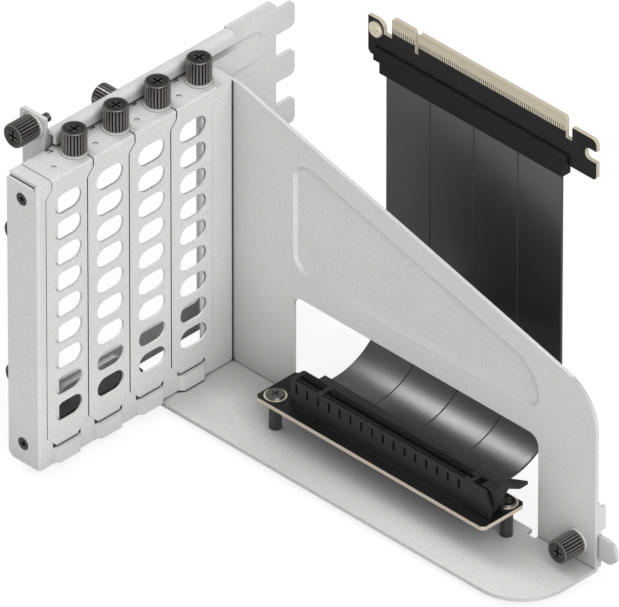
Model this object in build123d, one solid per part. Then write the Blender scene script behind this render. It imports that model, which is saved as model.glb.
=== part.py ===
from build123d import *
import os

# Vertical graphics card mount: a white slot frame with four covers that slides on a
# rear plate for the computer's slot openings, a side bracket that carries a riser
# socket, and a ribbon that ends in an edge board.
# Working axes: +X out of the slot covers, +Y across the slots, +Z up.
# Zero is the frame's lower front left corner until the last section moves the whole
# part to the middle of its base. All sizes are millimetres.

# Sheets, clearances and the slot standard
SHEET = 1.5
COVER_SHEET = 0.9
SLOT_PITCH = 20.32
SLOTS = 4
SLIT = 0.5
SEAT_GAP = 0.05

# Slot frame
FRAME_WIDTH = 95.4
FRAME_HEIGHT = 120.0
FRAME_DEPTH = 15.2
FLANGE_LEFT = 1.4
SEAM_GAP = 0.35
FRONT_ROUND = 1.0
FRAME_CORNER = 3.0
COVER_LEFT = 3.9
WINDOW_SIDE_REST = 6.8
WINDOW_BOTTOM = 13.0
WINDOW_TOP_REST = 8.0

# Slot covers
TAB_SHIFT = 2.9
JOG_TOP = 3.5
JOG_HEIGHT = 3.5
COVER_FOOT = 11.7
VENT_WIDTH = 13.0
VENT_HEIGHT = 8.0
VENT_PITCH = 11.0
VENTS = 9
VENT_FIRST = 20.1
VENT_SHIFT = 0.75
TAIL_WIDTH = 9.4
TAIL_END = 1.0
DIMPLE_RADIUS = 1.0
DIMPLE_DEPTH = 0.3

# Bridges that hold the covers' tails
BRIDGE_RISE = 1.9
BRIDGE_GAP = 0.4
BRIDGE_TOP = 6.8
BRIDGE_FOOT = 0.6
BRIDGE_END = 2.0
BRIDGE_RELIEF = 2.5
BRIDGE_RELIEF_WIDTH = 1.2

# Thumb screws
KNOB_RADIUS = 4.65
KNOB_HEIGHT = 9.1
KNOB_FLUTES = 24
FLUTE_DEPTH = 0.5
KNOB_RIM = 0.5
RECESS_SPAN = 4.2
RECESS_WIDTH = 1.0
RECESS_DEPTH = 1.6
SHANK_RADIUS = 1.75
WASHER_RADIUS = 5.0
WASHER_HEIGHT = 0.8
COVER_SCREW_X = -7.5
COVER_SCREW_SHIFT = 21.35
COVER_SHANK = 4.2

# Rear plate
PLATE_GAP = 2.4
PLATE_LEFT = 20.9
PLATE_RIGHT = 134.1
PLATE_RISE = 5.65
PLATE_SLOTS = 6
FINGER_LENGTH = 9.2
FINGER_HEIGHT = 10.4
FINGER_DROP = 9.9
FINGER_ROUND = 2.2
PLATE_WINDOW_LEFT = 26.0
PLATE_WINDOW_RIGHT = 96.2
PLATE_WINDOW_TOP_REST = 22.1
PLATE_BAND = 12.6
HOOD_DEPTH = 4.0
HOOD_RIGHT = 110.0
HOOD_LIP_GAP = 1.0
HOOD_ROUND = 2.0
EAR_DEPTH = 12.4
EAR_WAIST = 1.3
EAR_RISE = 4.75
EAR_LOBE = 7.5
EAR_SCREW_X = -23.5
EAR_SCREW_RISE = 5.3
EAR_SCREW_SLOTS = (0, 2, 5)
EAR_SHANK = 7.7
NECK_RADIUS = 2.1
UNDERCUT = 0.6
UNDERCUT_RADIUS = 1.4

# Slide bars, their slots in the rear plate and their clamp screws
BAR_DEPTH = 10.0
BAR_HEIGHT = 9.0
UPPER_BAR_LENGTH = 72.0
LOWER_BAR_LENGTH = 55.0
UPPER_BAR_DROP = 8.0
LOWER_BAR_Z = 8.0
UPPER_SLOT_DROP = 8.6
LOWER_SLOT_Z = 10.0
EMBOSS_HEIGHT = 10.4
EMBOSS_RISE = 2.0
UPPER_EMBOSS = (29.0, 128.0)
LOWER_EMBOSS = (24.0, 57.0)
SLOT_WIDTH = 4.0
UPPER_CLAMP_REST = 8.9
LOWER_CLAMP_REST = 27.0
UPPER_SLOT = (54.0, 76.0)
LOWER_SLOT = (27.0, 42.0)
CLAMP_SPACER = 6.5
CLAMP_SHANK_IN = 6.0
WALL_SCREW_X = -8.0
WALL_SCREW_RADIUS = 1.5
WALL_SCREW_HEAD = 2.5
WALL_SCREW_LENGTH = 7.0
WALL_SCREW_HEX = 1.1

# Side bracket
BRACKET_LENGTH = 177.5
BRACKET_DROP = 1.0
BRACKET_LEVEL_END = 2.75
BRACKET_END_HEIGHT = 72.4
BRACKET_CORNER = 19.0
SHELF_DEPTH = 35.9
SHELF_CORNER = 20.0
OPENING_LEFT = 29.5
OPENING_RIGHT = 149.7
OPENING_TOP = 42.5
OPENING_ROUND = 4.5
RELIEF_LENGTH = 4.2
DRAWN_BOTTOM = 52.8
DRAWN_FROM_EDGE = 9.4
DRAWN_DEPTH = 1.3
DRAWN_ROUND = 8.0
DRAWN_TOP_RIGHT_ROUND = 15.0
DRAWN_LOW_RIGHT_ROUND = 6.0
FOLD_RADIUS = 1.2

# Foot pad, stay and their screw
PAD_RADIUS = 10.0
PAD_HEIGHT = 2.5
PAD_X = 165.3
PAD_Y = 84.3
STAY_WIDTH = 20.0
STAY_TOP = 26.5
STAY_LIP_BOTTOM = 15.0
STAY_LIP_DEPTH = 2.2
EAR_TAB_BOTTOM = 3.8
EAR_TAB_HEIGHT = 9.6
EAR_TAB_LENGTH = 8.5
STAY_SCREW_X = 168.7
STAY_SCREW_Z = 7.7
STAY_SHANK = 6.5

# Riser socket board
BOARD_SHEET = 1.6
BOARD_LENGTH = 112.1
BOARD_WIDTH = 21.1
BOARD_X = 34.0
BOARD_Y = 71.85
BOARD_CORNER = 1.4
POST_HEIGHT = 11.9
POST_WIDTH = 4.1
POST_FROM_END = 5.0
POST_FROM_FRONT = 5.35
POST_FROM_BACK = 4.3
POST_SCREW_RADIUS = 1.25
POST_HEAD_RADIUS = 3.5
POST_HEAD = 0.8
RING_RADIUS = 4.2
FOIL = 0.1

# Socket with its latch
SOCKET_FROM_END = 12.4
SOCKET_RIGHT_REST = 11.1
SOCKET_FROM_FRONT = 8.4
SOCKET_WIDTH = 7.2
SOCKET_HEIGHT = 11.2
CARD_SLOT = 1.9
CARD_SLOT_DEPTH = 8.5
SOCKET_END_WALL = 1.7
KEY_FROM_END = 13.3
KEY_WIDTH = 1.5
GROOVES = 16
GROOVE_FIRST = 3.0
GROOVE_PITCH = 5.31
GROOVE_WIDTH = 1.0
GROOVE_DEPTH = 0.6
GROOVE_DROP = 0.9
GROOVE_HEIGHT = 3.8
CHEEK = 1.35
CHEEK_LENGTH = 9.4
CHEEK_TOP_LENGTH = 7.4
CHEEK_LOW = 6.2
LATCH_GAP = 0.3
PIVOT_RADIUS = 0.8
PIVOT_GAP = 0.05
PIVOT_FROM_END = 6.9
PIVOT_HEIGHT = 3.0
LEVER_RISE = 13.0
LEVER_REACH = 7.8
LEVER_LENGTH = 8.0
LEVER_TILT = 0.42
LEVER_SHEET = 1.5
FIN = 0.8

# Ribbon and its clamps
RIBBONS = 4
RIBBON_PITCH = 21.4
RIBBON_GAP = 0.25
RIBBON_SHEET = 1.0
RIBBON_FROM_SOCKET = 1.6
RIBBON_BEND = 25.6
RIBBON_TOP = 132.3
RIBBON_STRAIGHT = 2.1
LOWER_CLAMP_HEIGHT = 3.2
LOWER_CLAMP_WIDTH = 9.6
LOWER_CLAMP_OVERHANG = 2.45
LOWER_CLAMP_MARGIN = 2.15
RIBBON_RISE = 1.8

# Edge board
UPPER_CLAMP_DEPTH = 4.2
UPPER_CLAMP_STEP = 4.3
UPPER_CLAMP_TOP = 9.6
UPPER_CLAMP_LOW = (46.2, 135.3)
UPPER_CLAMP_WIDE = (43.2, 137.0)
EDGE_X = (39.5, 150.6)
EDGE_BOTTOM = 137.6
EDGE_LEFT_TOP = 153.3
EDGE_RIGHT_TOP = 154.3
EDGE_NOTCH_FLOOR = 148.7
FINGER_TIP = 157.3
FINGER_BASE = 151.2
FINGER_SPANS = ((51.1, 62.4), (64.0, 135.8))
EDGE_LEFT_TAB_RIGHT = 47.2
EDGE_RIGHT_TAB_LEFT = 138.8
HOOK_NOTCH = (145.1, 144.9, 149.7)
EDGE_HOLE = (43.5, 149.0)
EDGE_HOLE_RADIUS = 1.6
EDGE_RING_RADIUS = 3.1
EDGE_HEAD = 1.1

# Worked out from the sizes above
FRAME_BACK = -FRAME_DEPTH
FRONT_SHEET = COVER_SHEET + SHEET
COVERS_RIGHT = COVER_LEFT + SLOTS * SLOT_PITCH
PLATE_FRONT = FRAME_BACK - PLATE_GAP
PLATE_BACK = PLATE_FRONT - SHEET
BAR_BACK = PLATE_FRONT + EMBOSS_RISE
PLATE_TOP = FRAME_HEIGHT + PLATE_RISE
PLATE_BOTTOM = PLATE_TOP - PLATE_SLOTS * SLOT_PITCH
PLATE_WINDOW_TOP = PLATE_TOP - PLATE_WINDOW_TOP_REST
EAR_SCREW_TOP = FRAME_HEIGHT + EAR_SCREW_RISE
UPPER_BAR_Z = FRAME_HEIGHT - UPPER_BAR_DROP
UPPER_SLOT_Z = FRAME_HEIGHT - UPPER_SLOT_DROP
UPPER_CLAMP_Y = SHEET + UPPER_BAR_LENGTH - UPPER_CLAMP_REST
LOWER_CLAMP_Y = SHEET + LOWER_BAR_LENGTH - LOWER_CLAMP_REST
BRACKET_TOP = FRAME_HEIGHT - BRACKET_DROP
BRACKET_Y = FRAME_WIDTH
BRACKET_BACK = BRACKET_Y + SHEET
SHELF_FRONT = BRACKET_Y - SHELF_DEPTH
BOARD_TOP = POST_HEIGHT + BOARD_SHEET
BOARD_RIGHT = BOARD_X + BOARD_LENGTH
BOARD_BACK = BOARD_Y + BOARD_WIDTH
POST_LEFT = (BOARD_X + POST_FROM_END, BOARD_Y + POST_FROM_FRONT)
POST_RIGHT = (BOARD_RIGHT - POST_FROM_END, BOARD_BACK - POST_FROM_BACK)
SOCKET_X = BOARD_X + SOCKET_FROM_END
SOCKET_LENGTH = BOARD_LENGTH - SOCKET_FROM_END - SOCKET_RIGHT_REST
SOCKET_Y = BOARD_Y + SOCKET_FROM_FRONT
LATCH_WIDTH = SOCKET_WIDTH - 2 * (CHEEK + LATCH_GAP)
LOWER_CLAMP_BACK = BOARD_BACK + LOWER_CLAMP_OVERHANG
LOWER_CLAMP_FRONT = LOWER_CLAMP_BACK - LOWER_CLAMP_WIDTH
RIBBON_X = SOCKET_X + RIBBON_FROM_SOCKET
RIBBON_BEND_Y = LOWER_CLAMP_BACK + RIBBON_STRAIGHT
RIBBON_Z = BOARD_TOP + RIBBON_RISE
SOCKET_RIGHT = SOCKET_X + SOCKET_LENGTH
PIVOT_X = SOCKET_RIGHT + PIVOT_FROM_END
PIVOT_Z = BOARD_TOP + PIVOT_HEIGHT
RIBBON_Y = RIBBON_BEND_Y + RIBBON_BEND
RIBBONS_WIDTH = RIBBONS * RIBBON_PITCH
EDGE_FRONT = RIBBON_Y - BOARD_SHEET / 2


def block(x, y, z):
    """A box from its low and high coordinate along each axis."""
    centre = Pos((x[0] + x[1]) / 2, (y[0] + y[1]) / 2, (z[0] + z[1]) / 2)
    return centre * Box(x[1] - x[0], y[1] - y[0], z[1] - z[0])


def outline(*points):
    """A flat face through the points."""
    return make_face(Polyline(*points, close=True))


def sheet_x(face, low, high):
    """A face drawn in Y and Z, as a sheet from low to high along X."""
    return Pos(low, 0, 0) * extrude(Plane.YZ * face, high - low)


def sheet_y(face, low, high):
    """A face drawn in X and Z, as a sheet from low to high along Y."""
    return Pos(0, high, 0) * extrude(Plane.XZ * face, high - low)


def sheet_z(face, low, high):
    """A face drawn in X and Y, as a sheet from low to high along Z."""
    return Pos(0, 0, low) * extrude(face, high - low)


def rect(a, b):
    """A rectangle between two corners given as low and high of each axis."""
    return Pos((a[0] + a[1]) / 2, (b[0] + b[1]) / 2) * Rectangle(a[1] - a[0], b[1] - b[0])


def rod_x(radius, x, y, z):
    length = x[1] - x[0]
    return Pos((x[0] + x[1]) / 2, y, z) * Rot(0, 90, 0) * Cylinder(radius, length)


def rod_y(radius, y, x, z):
    length = y[1] - y[0]
    return Pos(x, (y[0] + y[1]) / 2, z) * Rot(90, 0, 0) * Cylinder(radius, length)


def rod_z(radius, z, x, y):
    length = z[1] - z[0]
    return Pos(x, y, (z[0] + z[1]) / 2) * Cylinder(radius, length)


def tail_centre(n):
    """Middle of the tail of cover n, counted from 0."""
    return COVER_LEFT + (n + 0.5) * SLOT_PITCH - 0.6


def cover_screw_y(n):
    return COVER_LEFT + COVER_SCREW_SHIFT + n * SLOT_PITCH


def vent_centre(n):
    return COVER_LEFT + (n + 0.5) * SLOT_PITCH + VENT_SHIFT


def jogged_column(left, right, top):
    """A column that steps to the right by TAB_SHIFT near the fold, as slot covers do."""
    straight = FRAME_HEIGHT - JOG_TOP
    jog = straight - JOG_HEIGHT
    return outline((left, COVER_FOOT), (left, jog), (left + TAB_SHIFT, straight),
                   (left + TAB_SHIFT, top), (right + TAB_SHIFT, top),
                   (right + TAB_SHIFT, straight), (right, jog), (right, COVER_FOOT))


def cover_foot(n, grow):
    """The taper and tail under the column of cover n."""
    left = COVER_LEFT + n * SLOT_PITCH + SLIT / 2 - grow
    right = left + SLOT_PITCH - SLIT + 2 * grow
    half = TAIL_WIDTH / 2 + grow
    middle = tail_centre(n)
    return outline((left, COVER_FOOT), (right, COVER_FOOT), (middle + half, BRIDGE_TOP),
                   (middle + half, TAIL_END - grow), (middle - half, TAIL_END - grow),
                   (middle - half, BRIDGE_TOP))


def bridge(n):
    """The lanced strip that the tail of cover n slides behind."""
    half = TAIL_WIDTH / 2 + SEAT_GAP
    low = tail_centre(n) - half
    high = tail_centre(n) + half
    inner = BRIDGE_GAP
    profile = outline((0, low - BRIDGE_END), (BRIDGE_RISE, low - BRIDGE_END + BRIDGE_RISE),
                      (BRIDGE_RISE, high + BRIDGE_END - BRIDGE_RISE), (0, high + BRIDGE_END),
                      (-SHEET, high + BRIDGE_END), (inner, high), (inner, low),
                      (-SHEET, low - BRIDGE_END))
    return sheet_z(profile, BRIDGE_FOOT, BRIDGE_TOP)


def slot_frame():
    """The folded frame: front sheet with its window, two walls, top and bottom flanges."""
    front = block((-FRONT_SHEET, 0), (0, FRAME_WIDTH), (0, FRAME_HEIGHT))
    wall = rect((FRAME_BACK, 0), (0, FRAME_HEIGHT))
    corner = wall.vertices().sort_by(Axis.Y)[:2].sort_by(Axis.X)[0]
    wall = fillet(corner, FRAME_CORNER)
    left_wall = sheet_y(wall, 0, SHEET)
    right_wall = sheet_y(wall, FRAME_WIDTH - SHEET, FRAME_WIDTH)
    bottom = block((FRAME_BACK + FRAME_CORNER, 0), (0, FRAME_WIDTH), (0, SHEET))
    top = block((FRAME_BACK, 0), (0, FRAME_WIDTH), (FRAME_HEIGHT - FRONT_SHEET, FRAME_HEIGHT))
    frame = front + left_wall + right_wall + bottom + top
    frame = fillet(frame.edges().filter_by(Axis.Z).group_by(Axis.X)[-1], FRONT_ROUND)

    window_y = (COVER_LEFT + WINDOW_SIDE_REST, COVERS_RIGHT - SHEET - 2.5)
    window_z = (WINDOW_BOTTOM, FRAME_HEIGHT - WINDOW_TOP_REST)
    frame -= block((-FRONT_SHEET, 0), window_y, window_z)
    seat = jogged_column(COVER_LEFT - SEAT_GAP, COVERS_RIGHT + SEAT_GAP, FRAME_HEIGHT)
    frame -= sheet_x(seat, -COVER_SHEET, 0)
    tabs = (COVER_LEFT + TAB_SHIFT - SEAT_GAP, COVERS_RIGHT + TAB_SHIFT + SEAT_GAP)
    frame -= block((FRAME_BACK, 0), tabs, (FRAME_HEIGHT - COVER_SHEET, FRAME_HEIGHT))

    seam = FRAME_HEIGHT - SHEET
    open_x = (FRAME_BACK, -SHEET)
    frame -= block(open_x, (0, FLANGE_LEFT), (seam - SEAM_GAP / 2, FRAME_HEIGHT))
    frame -= block(open_x, (FLANGE_LEFT - SEAM_GAP, FLANGE_LEFT), (seam - 2 * SEAM_GAP, FRAME_HEIGHT))

    for n in range(SLOTS):
        frame -= sheet_x(cover_foot(n, SEAT_GAP), -COVER_SHEET, 0)
        half = TAIL_WIDTH / 2 + SEAT_GAP + BRIDGE_END
        middle = tail_centre(n)
        frame -= block((-FRONT_SHEET, 0), (middle - half, middle + half), (BRIDGE_FOOT, BRIDGE_TOP))
        frame += bridge(n)
        relief = outline((middle - half, BRIDGE_TOP), (middle - half, BRIDGE_TOP + BRIDGE_RELIEF),
                         (middle - TAIL_WIDTH / 2, BRIDGE_TOP))
        frame -= sheet_x(relief, -FRONT_SHEET, 0)
        frame -= block((-FRONT_SHEET, 0), (middle + half - BRIDGE_RELIEF_WIDTH, middle + half),
                       (BRIDGE_TOP, BRIDGE_TOP + BRIDGE_RELIEF))
        hole_z = (FRAME_HEIGHT - FRONT_SHEET - SHEET, FRAME_HEIGHT)
        frame -= rod_z(SHANK_RADIUS + SEAT_GAP, hole_z, COVER_SCREW_X, cover_screw_y(n))
    for z in (LOWER_BAR_Z, UPPER_BAR_Z):
        frame -= wall_screw_body(z, SEAT_GAP)
    for z in side_screw_heights():
        span = (FRAME_WIDTH - 2 * SHEET, FRAME_WIDTH)
        frame -= rod_y(WALL_SCREW_RADIUS + SEAT_GAP, span, WALL_SCREW_X, z)
    return frame


def slot_cover(n):
    """One vented slot cover with its top tab, made from one strip."""
    left = COVER_LEFT + n * SLOT_PITCH + SLIT / 2
    right = left + SLOT_PITCH - SLIT
    if n == SLOTS - 1:
        right = COVERS_RIGHT
    face = jogged_column(left, right, FRAME_HEIGHT)
    cover = sheet_x(face, -COVER_SHEET, 0) + sheet_x(cover_foot(n, 0), -COVER_SHEET, 0)
    tab_y = (left + TAB_SHIFT, right + TAB_SHIFT)
    tab = block((FRAME_BACK, 0), tab_y, (FRAME_HEIGHT - COVER_SHEET, FRAME_HEIGHT))
    cover += tab
    fold = cover.edges().filter_by(Axis.Y).group_by(Axis.X)[-1].group_by(Axis.Z)[-1]
    cover = fillet(fold, COVER_SHEET)
    for k in range(VENTS):
        z = VENT_FIRST + k * VENT_PITCH
        vent = Pos(vent_centre(n), z) * SlotOverall(VENT_WIDTH, VENT_HEIGHT)
        cover -= sheet_x(vent, -COVER_SHEET, 0)
    notch_y = cover_screw_y(n) - 7.2
    cover -= block((FRAME_BACK, FRAME_BACK + 2.6), (notch_y, notch_y + 2.4),
                   (FRAME_HEIGHT - COVER_SHEET, FRAME_HEIGHT))
    dimple_z = (FRAME_HEIGHT - DIMPLE_DEPTH, FRAME_HEIGHT)
    cover -= rod_z(DIMPLE_RADIUS, dimple_z, COVER_SCREW_X + 1.8, cover_screw_y(n) - 11.8)
    screw_z = (FRAME_HEIGHT - COVER_SHEET, FRAME_HEIGHT)
    for k in (n - 1, n):
        cover -= rod_z(SHANK_RADIUS + 0.3, screw_z, COVER_SCREW_X, cover_screw_y(k))
    return cover


def knob():
    """The knurled knob with its cross recess, standing on z = 0."""
    step = 360 / KNOB_FLUTES
    rim_points = []
    for k in range(KNOB_FLUTES):
        rim_points.append(Vector(KNOB_RADIUS - FLUTE_DEPTH, 0).rotate(Axis.Z, k * step))
        rim_points.append(Vector(KNOB_RADIUS, 0).rotate(Axis.Z, (k + 0.5) * step))
    body = extrude(outline(*rim_points), KNOB_HEIGHT - KNOB_RIM)
    rim = Pos(0, 0, KNOB_HEIGHT - KNOB_RIM) * extrude(Circle(KNOB_RADIUS - 0.2), KNOB_RIM)
    cross = Rectangle(RECESS_SPAN, RECESS_WIDTH) + Rectangle(RECESS_WIDTH, RECESS_SPAN)
    recess = Pos(0, 0, KNOB_HEIGHT) * extrude(cross, -RECESS_DEPTH, taper=12)
    return body + rim - recess


def thumb_screw(shank):
    """A knurled knob on a shank: the seat is at z = 0 and the knob stands up."""
    stem = Pos(0, 0, -shank / 2) * Cylinder(SHANK_RADIUS, shank)
    tip = stem.edges().group_by(Axis.Z)[0]
    return knob() + chamfer(tip, 0.4)


def chassis_screw():
    """A thumb screw with a thicker neck in the ear and an undercut before its thread."""
    neck = WASHER_HEIGHT + SHEET
    root = neck + UNDERCUT
    end = WASHER_HEIGHT + EAR_SHANK
    stem = Pos(0, 0, -(root + end) / 2) * Cylinder(SHANK_RADIUS, end - root)
    stem = chamfer(stem.edges().group_by(Axis.Z)[0], 0.4)
    stem += Pos(0, 0, -root / 2) * Cylinder(UNDERCUT_RADIUS, root)
    return knob() + stem + Pos(0, 0, -neck / 2) * Cylinder(NECK_RADIUS, neck)


def washer(height, shank):
    """The collar under a knob, standing on z = 0, for a shank of that radius."""
    ring = Pos(0, 0, height / 2) * Cylinder(WASHER_RADIUS, height)
    return ring - Pos(0, 0, height / 2) * Cylinder(shank + SEAT_GAP, height)


def toward_left(x, y, z):
    """A place whose own up points along -Y."""
    return Pos(x, y, z) * Rot(90, 0, 0)


def toward_back(x, y, z):
    """A place whose own up points along -X."""
    return Pos(x, y, z) * Rot(0, -90, 0)


def ear_screw_z(k):
    return EAR_SCREW_TOP - EAR_SCREW_SLOTS[k] * SLOT_PITCH


def side_screw_heights():
    return (FRAME_HEIGHT * 0.2, FRAME_HEIGHT * 0.8)


def wall_screw_body(z, grow):
    """A countersunk screw through the left wall of the frame."""
    shank = rod_y(WALL_SCREW_RADIUS + grow, (0, WALL_SCREW_LENGTH + grow), WALL_SCREW_X, z)
    head_depth = WALL_SCREW_HEAD - WALL_SCREW_RADIUS
    head = toward_left(WALL_SCREW_X, head_depth / 2, z) * Cone(
        WALL_SCREW_RADIUS + grow, WALL_SCREW_HEAD + grow, head_depth)
    return shank + head


def end_wall_screws():
    """Two countersunk screws with a hexagon socket that hold the slide bars."""
    screws = []
    socket = RegularPolygon(WALL_SCREW_HEX, 6)
    for z in (LOWER_BAR_Z, UPPER_BAR_Z):
        recess = extrude(Plane.XZ * socket, -1.4)
        screws.append(wall_screw_body(z, 0) - Pos(WALL_SCREW_X, 0, z) * recess)
    return Compound(screws)


def bracket_side_screws():
    """Two low screws on the outside that join the side bracket to the frame."""
    screws = []
    cross = Rectangle(2.4, 0.6) + Rectangle(0.6, 2.4)
    for z in side_screw_heights():
        shank = rod_y(WALL_SCREW_RADIUS, (FRAME_WIDTH - SHEET, BRACKET_BACK), WALL_SCREW_X, z)
        head = rod_y(WALL_SCREW_HEAD, (BRACKET_BACK, BRACKET_BACK + 1.2), WALL_SCREW_X, z)
        head = chamfer(head.edges().group_by(Axis.Y)[-1], 0.4)
        recess = Pos(WALL_SCREW_X, BRACKET_BACK + 1.2, z) * extrude(Plane.XZ * cross, 0.8)
        screws.append(shank + head - recess)
    return Compound(screws)


def slide_bar(z, length):
    """A square bar inside the frame that the clamp screws pull against the rear plate."""
    bar = block((BAR_BACK, BAR_BACK + BAR_DEPTH), (SHEET, SHEET + length),
                (z - BAR_HEIGHT / 2, z + BAR_HEIGHT / 2))
    bar = chamfer(bar.edges().filter_by(Axis.Y), 0.5)
    bar -= wall_screw_body(z, SEAT_GAP)
    if z == UPPER_BAR_Z:
        place = (UPPER_CLAMP_Y, UPPER_SLOT_Z)
    else:
        place = (LOWER_CLAMP_Y, LOWER_SLOT_Z)
    hole = (BAR_BACK, BAR_BACK + CLAMP_SHANK_IN + 0.5)
    return bar - rod_x(SHANK_RADIUS + SEAT_GAP, hole, *place)


def emboss(z, span):
    """A raised channel, with steep walls, that the slide bar bears on."""
    centre = (span[0] + span[1]) / 2
    length = span[1] - span[0]
    foot = Pos(centre, z) * SlotOverall(length, EMBOSS_HEIGHT)
    outside = Pos(PLATE_FRONT, 0, 0) * extrude(Plane.YZ * foot, EMBOSS_RISE, taper=15)
    inner = Pos(centre, z) * SlotOverall(length - 2 * SHEET, EMBOSS_HEIGHT - 2 * SHEET)
    inside = Pos(PLATE_BACK, 0, 0) * extrude(Plane.YZ * inner, EMBOSS_RISE, taper=15)
    return outside, inside


def finger(k):
    """Finger k on the right edge, counted from the top, in Y and Z."""
    middle = PLATE_TOP - FINGER_DROP - k * SLOT_PITCH
    face = rect((PLATE_RIGHT - 1, PLATE_RIGHT + FINGER_LENGTH),
                (middle - FINGER_HEIGHT / 2, middle + FINGER_HEIGHT / 2))
    return fillet(face.vertices().sort_by(Axis.X)[-2:], FINGER_ROUND)


def ear_flange():
    """The side flange with a lobe at each chassis screw, in X and Z."""
    edge = PLATE_FRONT - EAR_DEPTH
    waist = rect((edge + EAR_WAIST, PLATE_FRONT), (PLATE_BOTTOM, PLATE_TOP))
    top = rect((edge + EAR_WAIST, PLATE_FRONT), (PLATE_TOP - 1, PLATE_TOP + EAR_RISE))
    flange = waist + chamfer(top.vertices().sort_by(Axis.Y)[-2:].sort_by(Axis.X)[-1], 1.0)
    for k in range(len(EAR_SCREW_SLOTS)):
        low = ear_screw_z(k) - EAR_LOBE
        high = min(ear_screw_z(k) + EAR_LOBE, PLATE_TOP + EAR_RISE)
        lobe = rect((edge, PLATE_FRONT), (low, high))
        flange += chamfer(lobe.vertices().sort_by(Axis.X)[:2], EAR_WAIST * 0.9)
    return flange


def hood():
    """The plate's top, folded forward over the frame and down in a lip, in X and Z."""
    front = PLATE_FRONT + HOOD_DEPTH
    low = FRAME_HEIGHT + HOOD_LIP_GAP
    profile = outline((PLATE_BACK, low - 1), (PLATE_BACK, PLATE_TOP), (front, PLATE_TOP), (front, low),
                      (front - SHEET, low), (front - SHEET, PLATE_TOP - SHEET),
                      (PLATE_FRONT, PLATE_TOP - SHEET), (PLATE_FRONT, low - 1))
    return fillet(profile.vertices().group_by(Axis.Y)[-1], HOOD_ROUND)


def rear_plate():
    """The plate that takes the place of six slot covers, with ears, hood and fingers."""
    face = rect((PLATE_LEFT, PLATE_RIGHT), (PLATE_BOTTOM, PLATE_TOP))
    face = chamfer(face.vertices().sort_by(Axis.X)[-2:].sort_by(Axis.Y)[-1], 2.4)
    for k in range(PLATE_SLOTS):
        face += finger(k)
    opening = rect((PLATE_WINDOW_LEFT, PLATE_WINDOW_RIGHT),
                   (PLATE_BOTTOM + PLATE_BAND, PLATE_WINDOW_TOP))
    face -= fillet(opening.vertices(), 3.0)
    face -= rect((PLATE_LEFT + SHEET, HOOD_RIGHT), (FRAME_HEIGHT + HOOD_LIP_GAP - 1, PLATE_TOP))
    plate = sheet_x(face, PLATE_BACK, PLATE_FRONT)
    plate += sheet_y(ear_flange(), PLATE_LEFT, PLATE_LEFT + SHEET)
    plate += sheet_y(hood(), PLATE_LEFT + SHEET, HOOD_RIGHT)

    for z, span, slot_span in ((UPPER_SLOT_Z, UPPER_EMBOSS, UPPER_SLOT),
                               (LOWER_SLOT_Z, LOWER_EMBOSS, LOWER_SLOT)):
        outside, inside = emboss(z, span)
        plate = plate + outside - inside
        slot = Pos((slot_span[0] + slot_span[1]) / 2, z) * SlotOverall(slot_span[1] - slot_span[0],
                                                                       SLOT_WIDTH)
        plate -= sheet_x(slot, PLATE_BACK, BAR_BACK)
    for k in range(len(EAR_SCREW_SLOTS)):
        span = (PLATE_LEFT, PLATE_LEFT + SHEET)
        plate -= rod_y(NECK_RADIUS + 0.1, span, EAR_SCREW_X, ear_screw_z(k))
    return plate


def bracket_edge(x):
    """Height of the side bracket's sloped edge at x."""
    slope = (BRACKET_TOP - BRACKET_END_HEIGHT) / (BRACKET_LENGTH - BRACKET_LEVEL_END)
    return BRACKET_TOP - (x - BRACKET_LEVEL_END) * slope


def drawn_panel():
    """Outline of the shallow drawn panel in the side bracket, in X and Z."""
    face = outline((OPENING_LEFT, DRAWN_BOTTOM),
                   (OPENING_LEFT, bracket_edge(OPENING_LEFT) - DRAWN_FROM_EDGE),
                   (OPENING_RIGHT, bracket_edge(OPENING_RIGHT) - DRAWN_FROM_EDGE),
                   (OPENING_RIGHT, DRAWN_BOTTOM))
    left = face.vertices().sort_by(Axis.X)[:2].sort_by(Axis.Y)
    face = fillet(left[0], DRAWN_ROUND)
    left = face.vertices().sort_by(Axis.Y)[-1]
    face = fillet(left, DRAWN_ROUND)
    right = face.vertices().sort_by(Axis.X)[-2:].sort_by(Axis.Y)
    face = fillet(right[-1], DRAWN_TOP_RIGHT_ROUND)
    right = face.vertices().sort_by(Axis.Y)[:2].sort_by(Axis.X)
    return fillet(right[-1], DRAWN_LOW_RIGHT_ROUND)


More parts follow.
